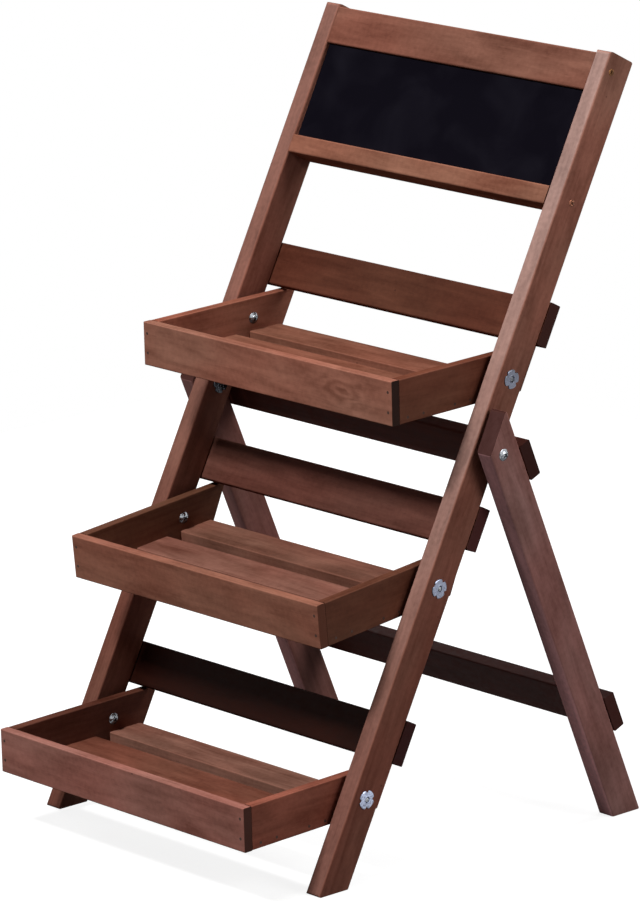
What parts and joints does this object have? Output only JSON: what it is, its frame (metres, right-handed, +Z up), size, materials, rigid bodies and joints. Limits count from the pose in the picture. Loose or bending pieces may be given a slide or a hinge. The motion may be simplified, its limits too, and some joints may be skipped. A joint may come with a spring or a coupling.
{
  "type": "plant ladder stand",
  "caption": "Folding wooden ladder stand for pots: hinged slatted trays between leaning stiles, a chalkboard header and rear legs that fold flat.",
  "frame": {"origin": "on the floor, at the middle of the footprint of the open stand", "axes": "+X to the viewer's right of a person facing the trays, -Y to the front, +Z up"},
  "size_m": [0.5206, 0.5753, 0.8815],
  "materials": {
    "frame_wood": "reddish brown stain, satin",
    "tray_wood": "reddish brown stain, satin",
    "chalkboard_paint": "matt black chalkboard paint on fibreboard",
    "zinc_plate": "zinc plated steel",
    "nail_steel": "dark finishing nails, stained over"
  },
  "bodies": {
    "ladder_frame": {"stile_left": "frame_wood", "stile_right": "frame_wood", "top_rail": "frame_wood", "bottom_rail": "frame_wood", "chalkboard_panel": "chalkboard_paint", "rail_screws": "zinc_plate", "crossbar_top": "frame_wood", "crossbar_middle": "frame_wood", "crossbar_bottom": "frame_wood", "crossbar_screws": "zinc_plate", "tray_bolts": "zinc_plate", "tray_nuts": "zinc_plate", "tray_washers": "zinc_plate", "pivot_bolts": "zinc_plate", "pivot_nuts": "zinc_plate", "pivot_washers": "zinc_plate"},
    "leg_frame": {"rear_leg_left": "frame_wood", "rear_leg_right": "frame_wood", "leg_crossbar_upper": "frame_wood", "leg_crossbar_lower": "frame_wood", "leg_crossbar_screws": "zinc_plate"},
    "tray_top": {"tray_top_front": "tray_wood", "tray_top_side_left": "tray_wood", "tray_top_side_right": "tray_wood", "tray_top_slat_front": "tray_wood", "tray_top_slat_middle": "tray_wood", "tray_top_slat_rear": "tray_wood", "tray_top_nails": "nail_steel"},
    "tray_middle": {"tray_middle_front": "tray_wood", "tray_middle_side_left": "tray_wood", "tray_middle_side_right": "tray_wood", "tray_middle_slat_front": "tray_wood", "tray_middle_slat_middle": "tray_wood", "tray_middle_slat_rear": "tray_wood", "tray_middle_nails": "nail_steel"},
    "tray_bottom": {"tray_bottom_front": "tray_wood", "tray_bottom_side_left": "tray_wood", "tray_bottom_side_right": "tray_wood", "tray_bottom_slat_front": "tray_wood", "tray_bottom_slat_middle": "tray_wood", "tray_bottom_slat_rear": "tray_wood", "tray_bottom_nails": "nail_steel"}
  },
  "joints": [
    {"name": "leg_fold", "type": "hinge", "parent": "ladder_frame", "child": "leg_frame", "pos_m": [0, 0.0584, 0.46013], "axis": [-1, 0, 0], "range_deg": [0, 46]},
    {"name": "tray_top_fold", "type": "hinge", "parent": "ladder_frame", "child": "tray_top", "pos_m": [0, 0.09679, 0.53484], "axis": [-1, 0, 0], "range_deg": [0, 101]},
    {"name": "tray_middle_fold", "type": "hinge", "parent": "ladder_frame", "child": "tray_middle", "pos_m": [0, -0.01565, 0.31604], "axis": [-1, 0, 0], "range_deg": [0, 118]},
    {"name": "tray_bottom_fold", "type": "hinge", "parent": "ladder_frame", "child": "tray_bottom", "pos_m": [0, -0.1281, 0.09725], "axis": [-1, 0, 0], "range_deg": [0, 113]}
  ]
}
